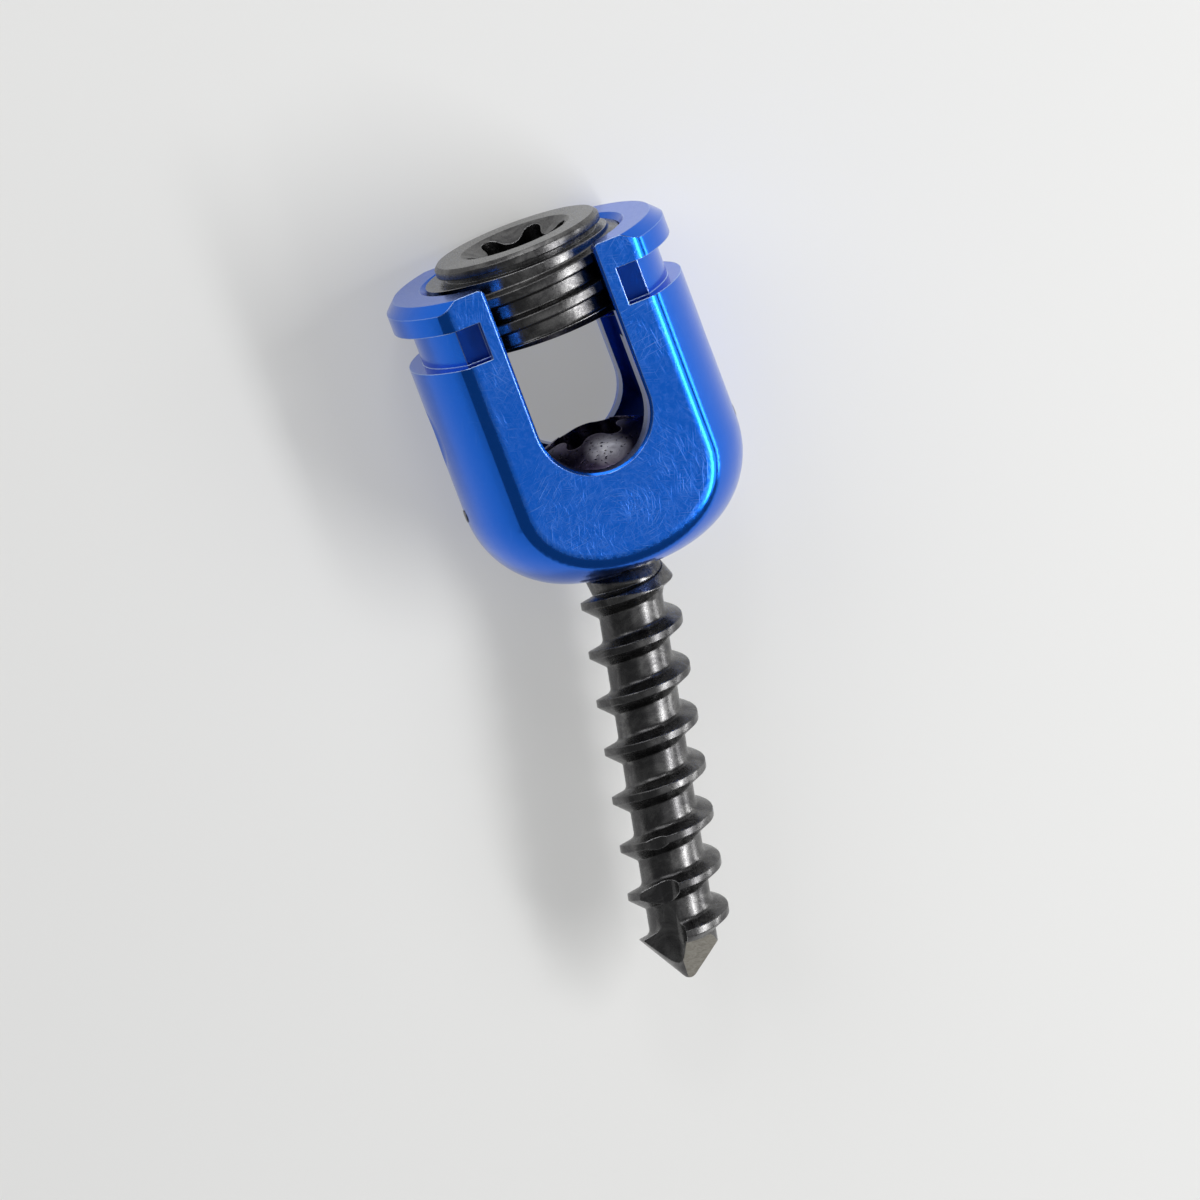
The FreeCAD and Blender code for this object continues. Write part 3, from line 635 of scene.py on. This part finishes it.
class Graph:
    """Small helper that adds and links nodes of one material."""

    def __init__(self, name):
        self.material = bpy.data.materials.new(name)
        self.material.use_nodes = True
        self.nodes = self.material.node_tree.nodes
        self.links = self.material.node_tree.links
        self.shader = self.nodes["Principled BSDF"]
        self.shader.inputs["Metallic"].default_value = 1.0

    def add(self, kind, inputs=None, **settings):
        """New node with its settings, and its inputs set to values or linked to sockets."""
        node = self.nodes.new(kind)
        for key, value in settings.items():
            setattr(node, key, value)
        for key, value in (inputs or {}).items():
            self.put(node.inputs[key], value)
        return node

    def put(self, socket, value):
        """Link an output to the input socket, or set a plain value on it."""
        if isinstance(value, bpy.types.NodeSocket):
            self.links.new(value, socket)
        else:
            socket.default_value = value

    def maths(self, operation, first, second=0.0):
        node = self.add("ShaderNodeMath", operation=operation)
        self.put(node.inputs[0], first)
        self.put(node.inputs[1], second)
        return node.outputs[0]

    def remap(self, value, low, high, to_low=0.0, to_high=1.0):
        """Value moved from the range low to high into the range to_low to to_high, and kept in it."""
        node = self.add("ShaderNodeMapRange", {"Value": value, "From Min": low, "From Max": high,
                                               "To Min": to_low, "To Max": to_high})
        return node.outputs["Result"]

    def mix(self, factor, first, second):
        """First colour where the factor is 0, second where it is 1."""
        node = self.add("ShaderNodeMix", data_type="RGBA")
        self.put(node.inputs["Factor"], factor)
        colours = [socket for socket in node.inputs if socket.type == "RGBA"]
        self.put(colours[0], first)
        self.put(colours[1], second)
        return [socket for socket in node.outputs if socket.type == "RGBA"][0]

    def coordinates(self, size=(1, 1, 1), turn=(0, 0, 0)):
        """Position on the piece in turned axes, in units of the size along each."""
        place = self.add("ShaderNodeTexCoord")
        mapping = self.add("ShaderNodeMapping", {"Vector": place.outputs["Object"], "Scale": size,
                                                 "Rotation": turn}, vector_type="TEXTURE")
        return mapping.outputs["Vector"]

    def noise(self, vector, scale, detail=3.0, roughness=0.5, distortion=0.0):
        node = self.add("ShaderNodeTexNoise", {"Vector": vector, "Scale": scale, "Detail": detail,
                                               "Roughness": roughness, "Distortion": distortion})
        return node.outputs["Fac"]

    def length_of(self, vector):
        node = self.add("ShaderNodeVectorMath", {0: vector}, operation="LENGTH")
        return node.outputs["Value"]

    def from_place(self, middle, size):
        """Distance from a place in the piece's own frame, in units of the size along each axis."""
        place = self.add("ShaderNodeTexCoord")
        mapping = self.add("ShaderNodeMapping", {"Vector": place.outputs["Object"], "Location": middle,
                                                 "Scale": size}, vector_type="TEXTURE")
        return self.length_of(mapping.outputs["Vector"])

    def component(self, output, axis):
        """One axis of the position (Object) or of the normal (Normal) in the piece's own frame."""
        place = self.add("ShaderNodeTexCoord")
        split = self.add("ShaderNodeSeparateXYZ", {"Vector": place.outputs[output]})
        return split.outputs[axis]

    def hairlines(self):
        """Fine scratches in the XY plane, at each of the turns, bent a little and broken up."""
        length, width = (value * MM for value in SCRATCH_SIZE)
        total = None
        for turn_deg in SCRATCH_TURNS_DEG:
            turn = (0, 0, math.radians(turn_deg))
            vector = self.coordinates((length, width, length), turn)
            streak = self.remap(self.noise(vector, 1.0, detail=2.0, distortion=0.6), *SCRATCH_LEVELS)
            patches = self.noise(self.coordinates(turn=turn), SCRATCH_PATCH_SCALE, detail=1.0)
            streak = self.maths("MULTIPLY", streak, self.remap(patches, *SCRATCH_PATCHES))
            total = streak if total is None else self.maths("MAXIMUM", total, streak)
        return total

    def highlight_spot(self, middle_mm, size_mm):
        """A soft round spot, 1 in its middle and 0 from its size outwards."""
        distance = self.from_place([value * MM for value in middle_mm],
                                   [value * MM for value in size_mm])
        return self.remap(distance, 1.0, HIGHLIGHT_SPOT_CORE)

    def facing(self, axis):
        """1 where the surface faces along one axis of the piece's own frame, either way, else 0."""
        return self.remap(self.maths("ABSOLUTE", self.component("Normal", axis)), *FACING_RANGE)

    def between(self, axis, low_mm, high_mm, soft_mm=LEVEL_SOFT):
        """1 where the piece's own coordinate lies between the two values, else 0."""
        value = self.component("Object", axis)
        above = self.remap(value, (low_mm - soft_mm) * MM, (low_mm + soft_mm) * MM)
        below = self.remap(value, (high_mm + soft_mm) * MM, (high_mm - soft_mm) * MM)
        return self.maths("MULTIPLY", above, below)

    def inside_bore(self, radius_mm, low_mm, high_mm):
        """1 within a radius of the head's axis and between two heights, else 0."""
        distance = self.from_place(BALL_CENTRE, (MM, ENDLESS, MM))
        near = self.remap(distance, radius_mm, radius_mm - BORE_SOFT)
        return self.maths("MULTIPLY", near, self.between("Y", low_mm, high_mm, BORE_LEVEL_SOFT))

    def bump(self, height, strength, depth_mm, normal):
        """The normal with the height's relief on it."""
        node = self.add("ShaderNodeBump", {"Height": height, "Strength": strength,
                                           "Distance": depth_mm * MM, "Normal": normal})
        return node.outputs["Normal"]

    def edges(self, radius_mm):
        """How near an edge the surface is, from 0 on a face to 1 at an edge, and the softened normal."""
        bevel = self.add("ShaderNodeBevel", {"Radius": radius_mm * MM}, samples=EDGE_SAMPLES)
        geometry = self.add("ShaderNodeNewGeometry")
        dot = self.add("ShaderNodeVectorMath", operation="DOT_PRODUCT")
        self.put(dot.inputs[0], bevel.outputs["Normal"])
        self.put(dot.inputs[1], geometry.outputs["Normal"])
        return self.remap(dot.outputs["Value"], *EDGE_RANGE), bevel.outputs["Normal"]

    def finish(self, colour, roughness, normal):
        """Put the three on the shader. Returns the material."""
        self.put(self.shader.inputs["Base Color"], colour)
        self.put(self.shader.inputs["Roughness"], roughness)
        self.put(self.shader.inputs["Normal"], normal)
        return self.material


def blue_anodised():
    """Anodised titanium: satin flats with fine scratches, smoother turned sides, painted shade in the
    pockets and the bore, and a painted highlight along the edges.
    """
    graph = Graph("blue_anodised_titanium")
    near_edge, soft_normal = graph.edges(BLUE_EDGE_WIDTH)
    flat = graph.facing("Z")
    lines = graph.hairlines()
    mottle = graph.noise(graph.coordinates(), BLUE_MOTTLE_SCALE, detail=4, **BROKEN)
    # The floors of the instrument recesses face the front too, but lie lower.
    pocket = graph.maths("MULTIPLY", flat, graph.between("Z", *POCKET_LEVELS))
    open_flat = graph.maths("SUBTRACT", flat, pocket)
    worn = graph.maths("MAXIMUM", lines, graph.remap(mottle, 0.45, 0.75, to_high=0.4))
    worn = graph.maths("MULTIPLY", worn, graph.remap(open_flat, 0, 1, 0.1, 0.8))
    bore_shade = graph.inside_bore(BORE_RADIUS, *BORE_LEVELS)
    colour = graph.mix(worn, BLUE, BLUE_SCRATCHED)
    # Painted shade: the pocket floors are darkened to deep navy
    colour = graph.mix(graph.maths("MULTIPLY", pocket, 0.9), colour, BLUE_POCKET_SHADE)
    # Painted shade: the inside of the bore is darkened
    colour = graph.mix(graph.maths("MULTIPLY", bore_shade, 0.8), colour, BLUE_BORE_SHADE)
    # Painted highlight: a pale line along every edge of the head
    colour = graph.mix(graph.maths("MULTIPLY", near_edge, 0.9), colour, BLUE_EDGE_HIGHLIGHT)
    height = graph.maths("ADD", mottle, lines)
    height = graph.maths("MULTIPLY", height, graph.remap(flat, 0, 1, to_low=0.25))
    graph.shader.inputs["Coat Weight"].default_value = COAT_WEIGHT
    graph.shader.inputs["Coat Roughness"].default_value = COAT_ROUGHNESS
    roughness = graph.maths("ADD", graph.remap(flat, 0, 1, 0.16, 0.28),
                            graph.remap(mottle, 0.3, 0.7, to_high=0.08))
    return graph.finish(colour, roughness, graph.bump(height, 0.3, BLUE_BUMP, soft_normal))


def dark_titanium():
    """Dark satin titanium with a painted highlight along its edges, a painted reflection on faces along
    the head's axis, and worn blotches.
    """
    graph = Graph("dark_titanium_satin")
    near_edge, soft_normal = graph.edges(TITANIUM_EDGE_WIDTH)
    place = graph.coordinates()
    blotches = graph.noise(place, TITANIUM_BLOTCH_SCALE, detail=6, **BROKEN)
    grain = graph.noise(place, TITANIUM_GRAIN_SCALE, detail=3, roughness=0.75)
    # Painted reflection: faces along the head's axis are made lighter grey
    colour = graph.mix(graph.maths("MULTIPLY", graph.facing("Y"), 0.8), TITANIUM, TITANIUM_FACE_REFLECTION)
    colour = graph.mix(graph.remap(blotches, 0.45, 0.75, to_high=0.8), colour, TITANIUM_WORN)
    # Painted highlight: the edges are made pale grey
    colour = graph.mix(graph.maths("MULTIPLY", near_edge, 0.8), colour, TITANIUM_EDGE_HIGHLIGHT)
    height = graph.maths("ADD", grain, graph.maths("MULTIPLY", blotches, 2.0))
    return graph.finish(colour, graph.remap(grain, 0.3, 0.7, 0.22, 0.36),
                        graph.bump(height, 0.45, TITANIUM_BUMP, soft_normal))


def cup_titanium():
    """Darker purple-grey oxide of the rod seat, with small pits, a painted highlight along its edges and
    one painted highlight, a pale spot on the seat.
    """
    graph = Graph("cup_oxide_titanium")
    near_edge, soft_normal = graph.edges(CUP_EDGE_WIDTH)
    place = graph.coordinates()
    blotches = graph.noise(place, CUP_BLOTCH_SCALE, detail=5, **BROKEN)
    pits = graph.remap(graph.noise(place, CUP_PIT_SCALE, detail=2), 0.60, 0.66)
    # Painted highlight: a pale, less metallic spot on the seat, broken up by the blotches
    cup_highlight = graph.maths("MULTIPLY", graph.highlight_spot(HIGHLIGHT_SPOT_AT, HIGHLIGHT_SPOT_SIZE),
                         graph.remap(blotches, 0.3, 0.6, to_low=0.55))
    graph.put(graph.shader.inputs["Metallic"], graph.remap(cup_highlight, 0, 1, 1.0, 0.1))
    colour = graph.mix(graph.remap(blotches, 0.4, 0.7), CUP, CUP_WORN_AND_EDGE_HIGHLIGHT)
    colour = graph.mix(cup_highlight, colour, CUP_HIGHLIGHT_SPOT)
    colour = graph.mix(pits, colour, CUP_PIT)
    # Painted highlight: the edges are made lighter
    colour = graph.mix(graph.maths("MULTIPLY", near_edge, 0.5), colour, CUP_WORN_AND_EDGE_HIGHLIGHT)
    height = graph.maths("SUBTRACT", blotches, graph.maths("MULTIPLY", pits, 2.0))
    return graph.finish(colour, graph.remap(blotches, 0.3, 0.7, 0.26, 0.4),
                        graph.bump(height, 0.4, CUP_BUMP, soft_normal))


def ground_titanium():
    """Bare, ground finish of the point's facets."""
    graph = Graph("ground_titanium")
    _, soft_normal = graph.edges(GROUND_EDGE_WIDTH)
    place = graph.coordinates([value * MM for value in GRINDING_CELL], GRINDING_TURN)
    lines = graph.noise(place, 1.0, detail=4, **BROKEN)
    colour = graph.mix(graph.remap(lines, 0.35, 0.65), GROUND_LINE, GROUND)
    return graph.finish(colour, graph.remap(lines, 0.3, 0.7, 0.34, 0.46),
                        graph.bump(lines, 0.4, GROUND_BUMP, soft_normal))


def shade(piece):
    """Smooth shading with the real edges kept sharp."""
    builder = bmesh.new()
    builder.from_mesh(piece.data)
    for face in builder.faces:
        face.smooth = True
    for edge in builder.edges:
        edge.smooth = edge.calc_face_angle(0) < math.radians(SHARP_DEG)
    builder.to_mesh(piece.data)
    builder.free()


def mark_facets(piece):
    """The ground facets of the point take the second material."""
    for turn_deg in (0, 180):
        turn = Matrix.Rotation(math.radians(turn_deg - 90 + FACET_TURN_DEG), 3, "Z")
        tilt = Matrix.Rotation(math.radians(FACET_HALF_ANGLE_DEG), 3, "Y")
        outward = turn @ tilt @ Vector((1, 0, 0))
        for face in piece.data.polygons:
            near_point = face.center.z < -SCREW_LENGTH + FACET_LENGTH + FACET_SLACK
            if near_point and face.normal.dot(outward) > SAME_DIRECTION:
                face.material_index = 1


def add_screw(piece, name, matrix, body, materials):
    """Name, shade and place a finer screw, and let it ride on its body."""
    piece.name = name
    for material in materials:
        piece.data.materials.append(material)
    shade(piece)
    place(piece, matrix)
    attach(piece, body)


def dress(node, material):
    """Give one of the part's own pieces its material."""
    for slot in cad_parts[node].material_slots:
        slot.material = material


bpy.context.scene.view_settings.view_transform = "Standard"
make_camera()
make_floor()
make_lights()
dark = dark_titanium()
dress("tulip", blue_anodised())
dress("pressure_insert", cup_titanium())
for dark_node in ("set_screw", "insert_pin_left", "insert_pin_right", "retainer_ring", "bone_screw"):
    dress(dark_node, dark)

fine_screw = bone_screw()
mark_facets(fine_screw)
add_screw(fine_screw, "bone_screw_fine", TILTED, "shank", (dark, ground_titanium()))
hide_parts("bone_screw")
fine_plug = set_screw()
add_screw(fine_plug, "set_screw_fine", LAID, "plug", (dark,))
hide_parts("set_screw")
